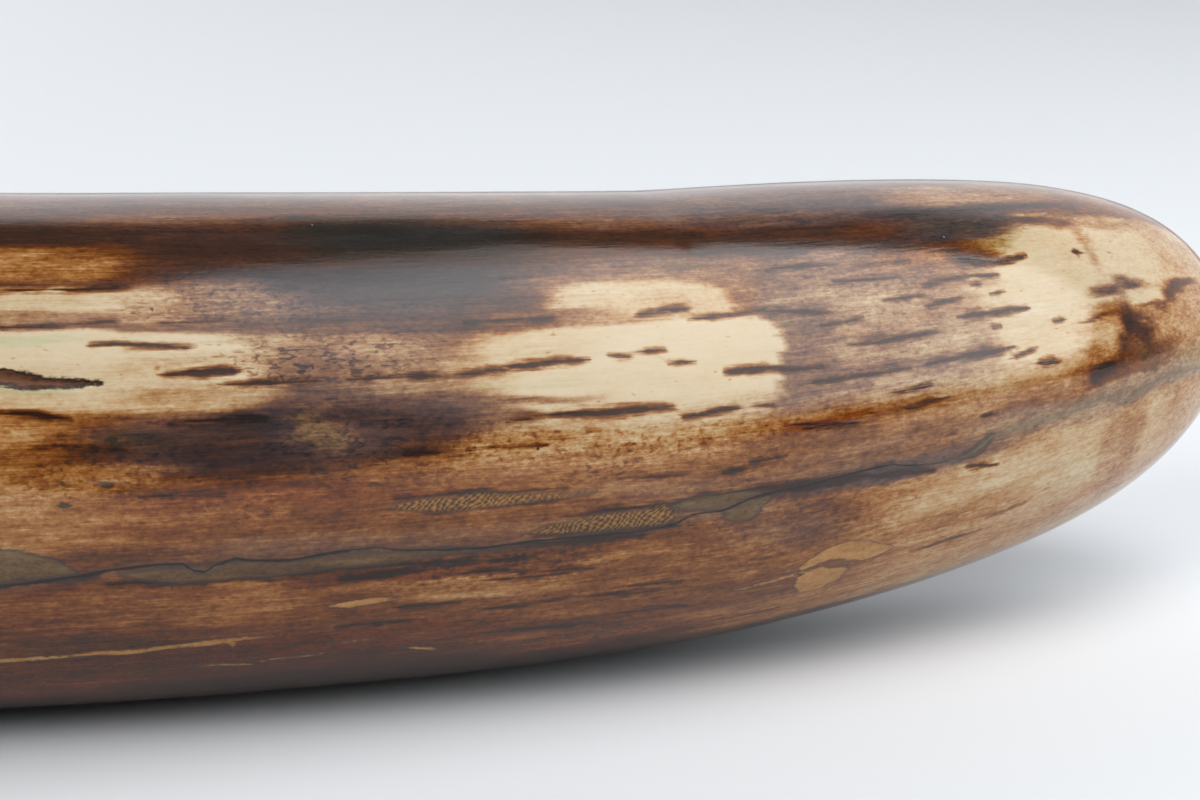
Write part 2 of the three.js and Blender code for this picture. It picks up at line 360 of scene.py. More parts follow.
# Warmth runs from 0, grey and mauve browns, through 1, orange ones, to 2, deep red ones.
WARMTH_STROKES = [
    (146, 59, 10, 8, 1.1, 0.5), (141, 40, 18, 14, 0.55, 0.5), (148, 12, 10, 12, 1.1, 0.5),
    (114, 48, 16, 12, 0.0, 0.5), (117, 35, 14, 8, 0.40, 0.6), (112, 22, 12, 6, 0.20, 0.6),
    (126, 16, 16, 6, 0.45, 0.5), (120, 17, 5, 5, 0.15, 0.7), (128, 1, 34, 6, 1.25, 0.4),
    (118, 4, 14, 3, 1.6, 0.6), (88, 8, 24, 6, 0.9, 0.5), (86, 33, 18, 14, 0.7, 0.4),
    (82, 44, 5, 3.5, 1.2, 0.7), (84, 53, 14, 4, 0.35, 0.6), (58, 32, 15, 24, 0.25, 0.15),
    (60, 8, 18, 5, 0.75, 0.6), (66, 9.5, 5, 1.4, 1.8, 0.8), (33, 40, 13, 20, 0.45, 0.4),
    (15, 20, 8, 16, 1.1, 0.5), (27, 13, 16, 12, 0.9, 0.6), (26, 17, 3.6, 10, 0.7, 0.8),
    (31, 7, 4, 3, 1.7, 0.6), (31, 23.8, 3, 1.6, 1.1, 0.8), (29, 56, 4, 5, 1.2, 0.8),
    (27, 33, 5, 4, 0.2, 0.8), (47, 51.5, 9, 3.4, 1.1, 0.6), (132, -21, 28, 9, 1.35, 0.4),
    (100, -17, 16, 6, 1.3, 0.6), (112, -17, 8, 2, 1.8, 0.7), (120, -47, 44, 16, 1.9, 0.4),
    (92, -40, 16, 9, 1.5, 0.6), (80, -28, 16, 8, 1.1, 0.6), (66, -15, 9, 7, 0.6, 0.7),
    (52, -20, 12, 14, 1.0, 0.5), (52, -44, 20, 12, 0.9, 0.6), (24, -16, 20, 22, 0.75, 0.5),
    (31, 0, 18, 3.4, 0.0, 0.6), (55, -6, 10, 3, 0.1, 0.6), (90, 62, 70, 5, 0.85, 0.5),
    (108, 67, 12, 5, 0.3, 0.6), (43, 62, 9, 7, 0.2, 0.6), (80, 90, 80, 9, 0.3, 0.4),
    (14, 64, 8, 8, 1.2, 0.7),
]

# Green tints, from 0 to 1.
GREEN_STROKES = [
    (110, 70, 12, 6, 0.8, 0.7), (44, 63, 8, 6, 0.7, 0.7), (41, 53, 4, 4, 0.7, 0.8),
    (98, 33.5, 4, 2.4, 0.30, 0.8), (100, 25, 8, 1.4, 0.4, 0.8), (97, 28, 9, 1.0, 0.25, 0.8),
    (139, 38.8, 12, 0.9, 0.4, 0.8), (79, 53, 3.5, 1.2, 0.7, 0.8), (70, 35, 1.2, 1.6, 0.8, 0.8),
    (147, 27.5, 4, 1.2, 0.8, 0.7), (148, 38.8, 4, 1.0, 0.7, 0.8), (78, 3, 3, 1, 0.5, 0.8),
    (130, 75, 10, 3, 0.4, 0.7), (24.6, 9, 1.8, 4, 0.9, 0.8), (21, 59, 7, 4, 0.4, 0.8),
    (137.5, 17.5, 3, 1.6, 0.8, 0.8), (119.2, 17.5, 2.3, 4.4, 0.65, 0.5), (106, 64, 13, 5, 1.0, 0.6),
    (60, 34, 2.5, 1, 0.4, 0.8), (31, 0.8, 12, 1.8, 0.4, 0.8), (15, 5, 6, 5, 0.6, 0.6),
]

# Where the stain breaks up into small specks, and into short leaning flecks, from 0 to 1.
SPECK_STROKES = [
    (87, 11.5, 17, 4.5, 1.0, 0.5), (84, 44, 6, 4, 0.4, 0.7), (124, 48, 8, 5, 0.8, 0.6),
    (74, 20, 3, 20, 0.6, 0.7), (60, 32, 14, 22, 0.5, 0.4), (102, 13, 8, 4, 0.8, 0.6),
    (140, 10, 7, 6, 0.7, 0.6), (70, -16, 12, 8, 0.5, 0.6), (104, -16, 10, 5, 0.9, 0.6),
    (87, 25, 18, 10, 0.22, 0.5), (36, 30, 12, 14, 0.12, 0.5),
]
FLECK_STROKES = [
    (117, 33, 9, 6, 0.75, 0.5), (133, 46, 5, 3.5, 0.5, 0.6), (125, 49, 8, 4, 0.3, 0.6),
    (124, 31, 5, 4, 0.8, 0.7), (114, 8, 8, 3, 0.5, 0.7), (127, 1, 6, 3, 0.35, 0.8),
    (92, 4, 4, 3, 0.5, 0.8), (118, 16, 6, 5, 0.4, 0.7),
]

# Drying slits: (s at the sawn-end side, phi there, s at the nose side, phi there, width in mm).
SLITS = [
    (142, 42.6, 137.6, 43.0, 0.6), (150, 42.2, 141.5, 42.4, 0.3), (134.5, 42.6, 126.5, 43.1, 0.45),
    (141.2, 37.8, 130.5, 36.8, 0.7), (150.5, 23.5, 142.4, 21.7, 0.5), (134.5, 30.6, 126.5, 31.3, 0.8),
    (128.5, 28.6, 119, 28.2, 0.5), (151, 50.6, 143, 51.9, 0.3), (144.5, 51.6, 136, 51.8, 0.5),
    (104.5, 40.3, 94.3, 40.9, 0.4), (107, 28.2, 91.7, 30.2, 0.8), (117, 28.0, 106, 28.4, 0.5),
    (90.4, 30.9, 87.2, 30.4, 0.4), (87.0, 31.2, 83.8, 31.3, 0.5), (84.0, 28.1, 80.8, 28.4, 0.45),
    (86.6, 40.8, 80.0, 41.6, 0.7), (81.6, 38.9, 72, 39.9, 0.6), (73, 39.9, 64, 37.2, 0.6),
    (78.3, 25.2, 70.6, 24.9, 0.7), (72.3, 24.2, 66, 23.2, 0.5), (97.2, 17.8, 83.6, 18.0, 0.9),
    (83.3, 15.5, 76.1, 16.6, 0.6), (75, 16.7, 72.4, 16.0, 0.4), (72.2, 10.9, 63.0, 8.8, 0.4),
    (58, 39.0, 52.4, 38.8, 0.5), (53.2, 35.6, 47.6, 37.0, 0.6), (49.8, 31.6, 39.7, 31.4, 0.9),
    (63.5, 28.3, 51.8, 27.8, 0.8), (55.2, 20.5, 43.2, 21.3, 0.9), (44.3, 18.2, 40.4, 19.4, 0.6),
    (41.2, 15.2, 37.4, 14.6, 0.6), (37.6, 26.6, 35.4, 26.8, 0.6), (45.6, 27.6, 44.3, 27.4, 0.5),
    (46.6, 40.1, 45.1, 40.2, 0.5), (52.6, 42.4, 45.2, 43.2, 0.4), (45.5, 42.6, 41.8, 42.3, 0.5),
    (44.6, 36.8, 42.4, 37.2, 0.3), (42.2, 46.2, 37.2, 48.0, 0.8), (30.9, 47.7, 29.2, 47.1, 0.8),
    (60, 50, 52, 50.3, 0.4), (63, 45.8, 54, 45.2, 0.4), (70, 51.0, 61, 51.6, 0.4),
    (52.5, 41.6, 50.2, 41.8, 0.4), (66, 33.6, 60.5, 35.0, 0.5), (58, 11, 51.8, 11.2, 0.4),
    (49.4, 4.8, 46.4, 5.0, 0.5), (60, 15.0, 54, 15.2, 0.4), (68.5, 20.2, 56, 20.4, 0.5),
    (90, 2.2, 83, 1.8, 0.4), (76.4, 2.8, 71.8, 3.4, 0.5), (79, 1.6, 76, 1.8, 0.4),
    (104, 11.6, 97, 11.4, 0.25), (101.5, 17.4, 97.6, 17.9, 0.3), (112, 11.2, 107, 11.4, 0.25),
    (106, 11.4, 102, 11.8, 0.3), (104, -18.4, 92, -20.0, 0.2), (103, -30.0, 92, -28.6, 0.25),
    (93, -28.8, 84, -29.8, 0.22), (88, -27.0, 81.5, -27.4, 0.25), (104, -20.8, 94, -21.0, 0.3),
    (56, -33.5, 46, -33, 0.35), (46.5, -28.4, 40.8, -27.2, 0.4), (51, -8.6, 46, -10.4, 0.4),
    (100, -38.6, 90, -39.2, 0.25), (88, -36.4, 80, -36.6, 0.25), (46.5, 48.8, 41.6, 46.4, 0.7),
    (140, -14.2, 128, -15.8, 0.45), (130, -15.6, 116, -14.6, 0.4), (118, -14.8, 103, -14.0, 0.4),
    (151, -13.6, 140, -12.2, 0.6), (100, -11.6, 86, -12.2, 0.7), (99, -9.8, 83, -10.6, 0.6),
    (96, -5.6, 82, -5.2, 0.5), (113, 1.9, 95, 1.3, 0.25), (110, -2.2, 96, -1.8, 0.25),
    (84, -4.6, 74, -3.6, 0.6), (76, -4.4, 62, -5.2, 0.8), (62, -6.2, 54, -7.6, 0.7),
    (118, -17.2, 109, -16.4, 0.4), (109, -18.8, 101, -17.6, 0.3), (108, -15.6, 98, -15.2, 0.25),
    (137.0, 5.0, 128.5, 4.8, 0.12), (147, 16.2, 137, 15.0, 0.25), (134, 20.2, 124, 20.6, 0.2),
    (78, -46.6, 69, -47.6, 0.25), (112, -26.4, 105, -26.8, 0.3), (118, -31.6, 108, -31.0, 0.3),
]

# Short dark ticks that stand across the grain: (s, phi low, phi high, lean in mm, width in mm).
TICKS = [
    (103.5, 2.6, 5.0, -0.3, 0.2), (98.5, 4.4, 5.6, 0.2, 0.2), (98.1, 9.6, 12.2, -0.4, 0.35),
    (93.3, 3.4, 5.0, -0.4, 0.3), (92.4, 1.6, 3.6, 0.1, 0.3), (91.7, 3.8, 5.8, -0.4, 0.3),
    (126.4, 1.0, 3.4, -0.5, 0.3), (130.2, 0.8, 2.4, -0.6, 0.3), (128.2, -1.4, 0.0, -0.3, 0.3),
    (124.6, 0.4, 1.6, -0.4, 0.3), (121.8, 2.6, 4.2, 0.1, 0.25), (133.2, -21, -15.4, 0.5, 0.25),
    (135, 44.2, 46.2, -0.7, 0.4), (134, 46.4, 48.6, -0.6, 0.3), (137, 44, 45.4, -0.5, 0.3),
    (129, 47, 49, -0.5, 0.3), (132, 48.5, 50.5, -0.6, 0.3), (34.9, 41.2, 43.8, -0.3, 0.3),
    (56.6, -15.6, -12.8, 0.4, 0.2), (55.1, -15.2, -13.2, -0.1, 0.2), (59.2, -13.4, -11.6, 0.1, 0.2),
    (82.2, 36.5, 37.2, 0, 0.25), (96.3, 9, 10.2, -0.2, 0.25), (86.2, 9.2, 10.4, 0, 0.2),
]

# The long drying crack, from the sawn-end side to the nose: (s, phi).
CRACK = [
    (176, -12), (168, -15), (160, -13.2), (150, -14.4), (147, -13.9), (143.5, -12.8), (140, -11.6),
    (137, -11.1), (132.6, -10.6), (132.0, -11.4), (131.2, -13.5), (130.4, -12.9), (129.5, -11.4),
    (127.6, -10.3), (126, -11.2), (122.5, -11.5), (120, -10.7), (117, -10.1), (113.6, -10.0),
    (112, -10.9), (108, -11.1), (103, -11.9), (98, -11.2), (93, -11.3), (88, -11.4), (84, -10.6),
    (81.6, -8.4), (78.4, -8.3), (76, -6.2), (71.5, -5.4), (67, -4.7), (62.5, -3.7), (59.8, -3.3),
    (57, -5.2), (54, -6.1), (51, -6.0), (49, -4.4), (47.4, -2.0), (44, -1.2), (40, -0.6), (35, 0.2),
    (31.6, 0.6), (29.6, -1.2), (28.4, -2.8), (27, -1.3), (24.5, -0.4), (21.5, 0.1), (18.5, -0.6),
    (15, -2.2), (11, -3), (7, -6), (4, -12),
]

# Fillings, each a ribbon of (s, phi, half width in mm), a blob (s, phi, half length, half height in mm)
# or a drip that has the form of a tick.
OLIVE_RIBBONS = [
    [(156, -9.5, 1.4), (150, -9.4, 2.2), (147, -9.6, 1.8), (144.4, -10.2, 1.1), (142.6, -11.6, 0.2)],
    [(139, -12.2, 0.1), (136, -12.9, 0.7), (132.5, -13.4, 1.0), (129, -13.0, 1.0), (122, -13.2, 0.75),
     (116, -12.6, 0.8), (110, -12.2, 0.5), (105, -12.2, 0.3), (101, -12.4, 0.1)],
    [(84.5, -6.5, 0.1), (82, -6.0, 0.8), (79, -5.8, 0.9), (77, -6.8, 1.5), (74.5, -7.0, 1.1),
     (73.4, -6.6, 0.1)],
    [(78.4, -9.9, 0.2), (77, -10.2, 0.8), (75.5, -10.2, 0.7), (74.4, -9.6, 0.1)],
    [(51.6, -5.9, 0.1), (50, -5.3, 0.45), (48.8, -4.2, 0.75), (48, -3.0, 0.5), (47, -1.9, 0.15)],
    [(61.8, -3.2, 0.05), (60.6, -3.1, 0.2), (59.4, -3.1, 0.05)],
]
OCHRE_RIBBONS = [
    [(156, -35.8, 0.2), (150, -35.6, 0.32), (144, -35.2, 0.2), (138, -34.6, 0.3), (133, -33.8, 0.28),
     (129, -33.1, 0.42), (126.6, -32.7, 0.28), (123.2, -32.3, 0.1)],
    [(131, -42.6, 0.02), (129.5, -42.6, 0.16), (125.5, -43.4, 0.12), (124, -41.8, 0.12),
     (119, -41.4, 0.14), (117.6, -40.6, 0.08)],
    [(118.6, -37.2, 0.02), (116.4, -36.9, 0.14), (113.2, -36.6, 0.05)],
    [(111, -37.8, 0.05), (110, -37.4, 0.14), (107.6, -37.6, 0.05)],
    [(118.6, -24.6, 0.05), (116.4, -24.4, 0.50), (114.4, -23.7, 0.42), (111.4, -24.0, 0.05)],
    [(69.6, -31.4, 0.1), (68.4, -29.2, 0.7), (66, -26.9, 0.95), (63.6, -26.8, 1.15), (61.6, -28.4, 1.6),
     (60, -29.4, 1.1), (58, -30.0, 0.15)],
    [(77, -33.8, 0.02), (75, -33.4, 0.14), (72, -32.4, 0.24), (69.6, -31.6, 0.24), (68, -31.0, 0.1)],
    [(110.4, -41.4, 0.02), (109, -42.4, 0.22), (107, -43.4, 0.24), (106.2, -43.8, 0.02)],
    [(33.4, 64.2, 0.2), (31.8, 64.9, 0.4), (30, 65.2, 0.2)],
    [(29.2, 62.6, 0.1), (27.4, 63.2, 0.3), (26.4, 63.6, 0.1)],
]
OCHRE_BLOBS = [(66.3, -35.4, 2.9, 1.7), (66.6, -38.4, 1.5, 1.1), (63.4, -30.6, 0.5, 1.2)]
OCHRE_DRIP = (127.4, -35.6, -32.4, -0.15, 0.35)

# Crossed growth lines that show as two golden bands: (s, phi, half width in mm).
HATCH_BANDS = [
    [(113, 0.2, 0.1), (110, -0.3, 0.75), (105, -0.4, 0.85), (100, -0.5, 0.6), (96, -0.5, 0.35),
     (92, 0.0, 0.1)],
    [(99, -8.8, 0.1), (96, -8.4, 0.6), (93, -8.1, 1.0), (88, -8.1, 1.15), (84.6, -7.8, 1.2),
     (82.6, -6.8, 0.4)],
]

# The open knot on the sawn-end side, another ribbon, and the pits: (s, phi, half length, half height,
# depth), in mm.
KNOT = [
    (155, 31.0, 0.5), (151.6, 31.2, 0.75), (149, 30.7, 1.0), (146.6, 29.9, 0.95), (144.4, 29.5, 0.55),
    (141.6, 29.3, 0.6), (139.4, 29.4, 0.3),
]
PITS = [
    (139.6, 7.8, 0.7, 0.4, 0.15), (143.6, 8.3, 0.35, 0.3, 0.12), (144, 11.5, 0.4, 0.3, 0.12),
    (139, 17.2, 0.6, 0.35, 0.1), (99.4, 52.6, 0.6, 0.4, 0.12), (143.4, 3.8, 0.7, 0.35, 0.1),
]

# Lint and small scuffs on the polish: (s, phi low, phi high, lean in mm, width in mm).
LINT = [
    (117.6, 69.5, 73.6, -0.5, 0.12), (107.0, 75.0, 78.0, 0.2, 0.12), (46.8, 53.0, 58.6, -0.7, 0.12),
    (108.7, -27.6, -26.0, 0.2, 0.10), (67.2, -19.6, -16.2, 0.6, 0.12), (148.6, -38.0, -33.2, 0.6, 0.12),
    (115.2, 38.9, 40.4, -0.4, 0.10), (147.3, 68.0, 70.4, -0.3, 0.10), (100.5, -36.6, -35.0, 0.4, 0.10),
    (58.7, 30.0, 31.4, 0.3, 0.08),
]

# How far the slits and the crack wander off their lines, in mm.
SLIT_WANDER = 0.13
CRACK_WANDER = 0.10

# Relief, in mm.
UNEVENNESS = 0.10
CRACK_DEPTH = 0.22
SLIT_DEPTH = 0.03
KNOT_DEPTH = 0.35
OLIVE_DEPTH = 0.03
OCHRE_HEIGHT = 0.02

# Stains that are dealt out where the front doesn't show: (how many, s from and to, phi from and to,
# the stains drawn from, half lengths and half heights of a stain, and of the warm patch round it).
HIDDEN_STAINS = [
    (46, (165, 470), (-180, 180), (0.08, 0.2, 0.45, 0.84, 0.9), (12, 42), (5, 16), (20, 50), (12, 30)),
    (30, (22, 168), (122, 255), (0.08, 0.25, 0.45, 0.84, 0.9), (8, 26), (4, 12), (14, 30), (10, 26)),
]
HIDDEN_STAIN_SHARES = (0.3, 0.15, 0.2, 0.2, 0.15)
HIDDEN_SLITS = 120
HIDDEN_SEED = 41


def hidden_marks():
    """Windows, stains and slits on the parts that the front doesn't show: the hollow side, the
    underside and the length towards the sawn face. They are dealt out by a seeded draw."""
    rng = np.random.default_rng(HIDDEN_SEED)
    strokes, warmths, slits = [], [], []
    for count, s_span, phi_span, stains, length, height, warm_length, warm_height in HIDDEN_STAINS:
        for _ in range(count):
            s, phi = rng.uniform(*s_span), rng.uniform(*phi_span)
            value = rng.choice(stains, p=HIDDEN_STAIN_SHARES)
            size = rng.uniform(*length), rng.uniform(*height)
            strokes.append((s, phi, *size, value, rng.uniform(0.15, 0.5)))
            size = rng.uniform(*warm_length), rng.uniform(*warm_height)
            warmths.append((s, phi, *size, rng.uniform(0.1, 1.0), 0.5))
    for _ in range(HIDDEN_SLITS):
        far = rng.random() < 0.7
        s = rng.uniform(170, 468) if far else rng.uniform(20, 160)
        phi = rng.uniform(-180, 180) if far else rng.uniform(115, 270)
        half = rng.uniform(5, 26) / 2
        phi_nose = phi + rng.uniform(-1.5, 1.5)
        slits.append((s + half, phi, s - half, phi_nose, rng.uniform(0.6, 1.6)))
    return strokes, warmths, slits


hidden_strokes, hidden_warmths, hidden_slits = hidden_marks()
ripple = waves(2.0, 3.0, 21)

stain = np.interp(PHI, *zip(*STAIN_ROUND)) + 0.05 * waves(16, 3, 31)
stain = paint(stain, hidden_strokes + STAIN_STROKES)
warmth = paint(np.full_like(S, 0.6) + 0.2 * waves(24, 2.5, 32), hidden_warmths + WARMTH_STROKES)
green = paint(np.zeros_like(S), GREEN_STROKES)
specks = paint(np.full_like(S, 0.3), SPECK_STROKES)
flecks = paint(np.zeros_like(S), FLECK_STROKES)

crack_s, crack_phi = np.array(CRACK, float)[::-1].T
crack_line = np.interp(S, crack_s, crack_phi)
crack = np.clip(arc(PHI - crack_line) + CRACK_WANDER * ripple, -4, 4)
crack = np.where((S > crack_s[-1]) | (S < crack_s[0]) | (np.abs(PHI - crack_line) > 60), 4, crack)

slit_off, slit_half = slit_fields(SLITS + hidden_slits, SLIT_WANDER * ripple)
ticks = deepest(*(tick(*mark) for mark in TICKS))
olive = deepest(*(ribbon(points, 0.15, 51 + i) for i, points in enumerate(OLIVE_RIBBONS)))
ochre = deepest(
    *(ribbon(points, 0.12, 61 + i) for i, points in enumerate(OCHRE_RIBBONS)),
    *(blob(*place, 0.2, 71 + i) for i, place in enumerate(OCHRE_BLOBS)),
    tick(*OCHRE_DRIP),
)
hatch = deepest(*(ribbon(points, 0.1, 81 + i) for i, points in enumerate(HATCH_BANDS)))
knot = deepest(ribbon(KNOT, 0.15, 91))
lint = deepest(*(tick(*mark) for mark in LINT))
pit_fields = [blob(*place, 0.05, 5) for *place, _ in PITS]
pit = deepest(*pit_fields)

# Relief in mm, outwards: a worn, slightly uneven body, cut by the slits, the knot, the pits and the
# crack, which is open only towards the sawn end. The olive filling lies low and the ochre one stands
# up. The relief fades out at both ends.
relief = UNEVENNESS * (waves(22, 2.2, 95) + 0.2 * waves(6, 3, 96))
relief -= CRACK_DEPTH * np.exp(-((crack / 0.3) ** 2)) * smooth((S - 100) / 20)
relief -= SLIT_DEPTH * smooth((slit_half - slit_off + 0.2) / 0.5)
relief -= KNOT_DEPTH * smooth(knot)
relief -= OLIVE_DEPTH * smooth(olive / 0.5) - OCHRE_HEIGHT * smooth(ochre / 0.4)
for field, (*_, depth) in zip(pit_fields, PITS):
    relief -= depth * smooth(field / 0.3)
relief *= smooth(S / 12) * smooth((LENGTH - SAWN_EDGE_RADIUS - S) / 6)


# ---------------------------------------------------------------- mesh

def skin_points():
    """Every ring's points: centre plus radius plus relief along the section's own directions. The
    edge and face rings share the sawn face's directions, so that the face is flat."""
    centre, inner, upper, _ = centre_and_axes(row_s)
    end_centre, end_inner, end_upper, end_back = centre_and_axes(np.array([LENGTH]))
    centre[row_flat] = end_centre + end_back * (row_s[row_flat, None] - LENGTH)
    inner[row_flat] = end_inner
    upper[row_flat] = end_upper
    angle = np.radians(PHI)[..., None]
    outward = -inner[:, None] * np.cos(angle) + upper[:, None] * np.sin(angle)
    points = centre[:, None] + outward * (RADIUS + relief)[..., None]
    nose = centre_and_axes(np.array([0.0]))[0]
    return np.concatenate([nose, points.reshape(-1, 3), end_centre])


def skin_faces():
    """Quads between rings, and a fan of triangles at the nose and in the middle of the sawn face."""
    rows = len(row_s)
    i, j = np.meshgrid(np.arange(rows - 1), np.arange(AROUND), indexing="ij")
    here = 1 + i * AROUND + j
    beside = 1 + i * AROUND + (j + 1) % AROUND
    quads = np.stack([here, here + AROUND, beside + AROUND, beside], -1).reshape(-1, 4)
    column = np.arange(AROUND)
    following = (column + 1) % AROUND
    nose_fan = np.stack([np.zeros_like(column), 1 + column, 1 + following], -1)
    last = 1 + (rows - 1) * AROUND
    face_fan = np.stack([np.full_like(column, last + AROUND), last + following, last + column], -1)
    return quads, np.concatenate([nose_fan, face_fan])


def skin_map(quads):
    """The bake map: one cell of the picture for each quad, so that the finely made nose gets most of
    it, and a row of triangles for the fan at each end."""
    rows = len(row_s)
    down, over = 1 / (rows + 2), 1 / (AROUND + 1)
    corner = quads - 1
    u = (corner % AROUND) * over
    u[:, 2:] = (corner[:, :1] % AROUND + 1) * over
    v = (corner // AROUND + 1) * down
    column = np.tile(np.arange(AROUND), 2)
    top = np.repeat([0.0, (rows + 1) * down], AROUND)
    base = np.repeat([down, rows * down], AROUND)
    fan_u = np.stack([(column + 0.5) * over, column * over, (column + 1) * over], -1)
    fan_u[AROUND:, 1:] = fan_u[AROUND:, :0:-1]
    fan_v = np.stack([top, base, base], -1)
    flat = np.concatenate([np.stack([u, v], -1).reshape(-1, 2), np.stack([fan_u, fan_v], -1).reshape(-1, 2)])
    return flat + 0.25 * over


def skin_mesh(points):
    """Puts the points, the faces and the bake map into a mesh."""
    quads, fans = skin_faces()
    mesh = bpy.data.meshes.new("tusk_skin")
    mesh.vertices.add(len(points))
    mesh.vertices.foreach_set("co", (points * MM).astype(np.float32).ravel())
    corners = np.concatenate([quads.ravel(), fans.ravel()]).astype(np.int32)
    sizes = np.concatenate([np.full(len(quads), 4), np.full(len(fans), 3)])
    mesh.loops.add(len(corners))
    mesh.loops.foreach_set("vertex_index", corners)
    mesh.polygons.add(len(sizes))
    mesh.polygons.foreach_set("loop_start", np.concatenate([[0], np.cumsum(sizes)[:-1]]).astype(np.int32))
    mesh.update(calc_edges=True)
    mesh.validate()
    mesh.shade_smooth()
    layer = mesh.uv_layers.new(name="OFBake")
    layer.data.foreach_set("uv", skin_map(quads).astype(np.float32).ravel())
    return mesh


def add_fields(mesh):
    """Puts the straightened places and the painted fields on the mesh's points, as attributes. Each
    field has its own values at the nose's point and in the middle of the sawn face."""
    straight = np.concatenate([[[0, 0, 0]], STRAIGHT.reshape(-1, 3), [[LENGTH, 0, 0]]])
    attribute = mesh.attributes.new("straight", "FLOAT_VECTOR", "POINT")
    attribute.data.foreach_set("vector", straight.astype(np.float32).ravel())
    for name, field, at_nose, at_face in [
        ("stain", stain, stain[0].mean(), 0.3), ("warmth", warmth, warmth[0].mean(), 0.5),
        ("green", green, 0, 0), ("specks", specks, 0.3, 0), ("flecks", flecks, 0, 0),
        ("crack", crack, 4, 4), ("slit_off", slit_off, FAR_OFF, FAR_OFF),
        ("slit_half", slit_half, -FAR_OFF, -FAR_OFF), ("ticks", ticks, -FAR_OFF, -FAR_OFF),
        ("olive", olive, -FAR_OFF, -FAR_OFF), ("ochre", ochre, -FAR_OFF, -FAR_OFF),
        ("hatch", hatch, -FAR_OFF, -FAR_OFF), ("knot", knot, -FAR_OFF, -FAR_OFF),
        ("pit", pit, -FAR_OFF, -FAR_OFF), ("lint", lint, -FAR_OFF, -FAR_OFF),
        ("face", ON_FACE.astype(float), 0, 1),
    ]:
        attribute = mesh.attributes.new(name, "FLOAT", "POINT")
        values = np.concatenate([[at_nose], field.reshape(-1), [at_face]])
        attribute.data.foreach_set("value", values.astype(np.float32))


def make_skin():
    """The tusk's skin, lined up with the solid in plan and left on its own height. Returns it with the
    place of its nose."""
    points = skin_points()
    low, high = (np.array(corner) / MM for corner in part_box("tusk"))
    shift = (low + high) / 2 - (points.min(0) + points.max(0)) / 2
    shift[2] = 0
    points += shift
    mesh = skin_mesh(points)
    add_fields(mesh)
    piece = bpy.data.objects.new("mammoth_tusk", mesh)
    bpy.context.scene.collection.objects.link(piece)
    return piece, points[0] * MM


# ---------------------------------------------------------------- finish of the ivory

class Amount:
    """A number at each point of the skin, worked out by shader nodes. + - * and the methods add a
    node and give its result as a new amount."""

    def __init__(self, tree, socket):
        self.tree = tree
        self.socket = socket

    def math(self, operation, *others):
        """The operation on this and the others, in that order."""
        node = self.tree.nodes.new("ShaderNodeMath")
        node.operation = operation
        for slot, value in zip(node.inputs, (self, *others)):
            feed(self.tree, value, slot)
        return Amount(self.tree, node.outputs[0])

    def __add__(self, other):
        return self.math("ADD", other)

    def __sub__(self, other):
        return self.math("SUBTRACT", other)

    def __mul__(self, other):
        return self.math("MULTIPLY", other)

    def flipped(self):
        """1 minus this."""
        return self.math("MULTIPLY_ADD", -1.0, 1.0)

    def size(self):
        """This without its sign."""
        return self.math("ABSOLUTE")

    def most(self, other):
        """The higher of the two."""
        return self.math("MAXIMUM", other)

    def wave(self):
        """The sine of this, in radians."""
        return self.math("SINE")

    def mapped(self, low, high, to_low, to_high, kind="LINEAR"):
        """This with the span low to high carried over to to_low to to_high, and level past it."""
        node = self.tree.nodes.new("ShaderNodeMapRange")
        node.interpolation_type = kind
        feed(self.tree, self, node.inputs["Value"])
        node.inputs["From Min"].default_value = low
        node.inputs["From Max"].default_value = high
        node.inputs["To Min"].default_value = to_low
        node.inputs["To Max"].default_value = to_high
        return Amount(self.tree, node.outputs["Result"])

    def step(self, start, end):
        """0 at start, 1 at end and smooth between; start may be the higher one."""
        if start < end:
            return self.mapped(start, end, 0, 1, "SMOOTHSTEP")
        return self.mapped(end, start, 1, 0, "SMOOTHSTEP")


def feed(tree, value, slot):
    """Sets a socket to a plain value, or links what nodes work out to it."""
    if isinstance(value, Amount):
        tree.links.new(value.socket, slot)
    elif isinstance(value, bpy.types.NodeSocket):
        tree.links.new(value, slot)
    else:
        slot.default_value = value


def split(tree, vector):
    """The three parts of a vector, as amounts."""
    node = tree.nodes.new("ShaderNodeSeparateXYZ")
    tree.links.new(vector, node.inputs[0])
    return [Amount(tree, part) for part in node.outputs]


def srgb(*parts):
    """A colour given as it looks, red, green and blue from 0 to 255, in the renderer's even units."""
    parts = np.array(parts) / 255
    even = np.where(parts <= 0.04045, parts / 12.92, ((parts + 0.055) / 1.055) ** 2.4)
    return (*even, 1.0)


WARM_STAINS = [  # (stain, colour) from clean ivory to black-brown, on the orange side
    (0.00, srgb(206, 188, 158)), (0.14, srgb(194, 170, 134)), (0.28, srgb(178, 140, 96)),
    (0.42, srgb(155, 104, 54)), (0.56, srgb(124, 74, 33)), (0.70, srgb(96, 52, 22)),
    (0.84, srgb(64, 40, 28)), (1.00, srgb(38, 31, 29)),
]
COOL_STAINS = [  # the same on the grey and mauve side
    (0.00, srgb(201, 186, 160)), (0.14, srgb(188, 168, 136)), (0.28, srgb(166, 138, 106)),
    (0.42, srgb(140, 108, 84)), (0.56, srgb(112, 84, 70)), (0.70, srgb(84, 67, 64)),
    (0.84, srgb(60, 53, 55)), (1.00, srgb(40, 39, 42)),
]
RIM_COLOURS = [(0.1, srgb(66, 48, 45)), (0.28, srgb(48, 29, 21)), (0.8, srgb(38, 20, 12))]
KNOT_COLOURS = [
    (0.0, srgb(84, 64, 42)), (0.28, srgb(40, 29, 26)), (0.6, srgb(72, 38, 20)), (1.0, srgb(104, 64, 38)),
]
OLIVE_COLOURS = [(0.05, srgb(110, 96, 70)), (0.45, srgb(94, 72, 46)), (0.9, srgb(58, 42, 29))]
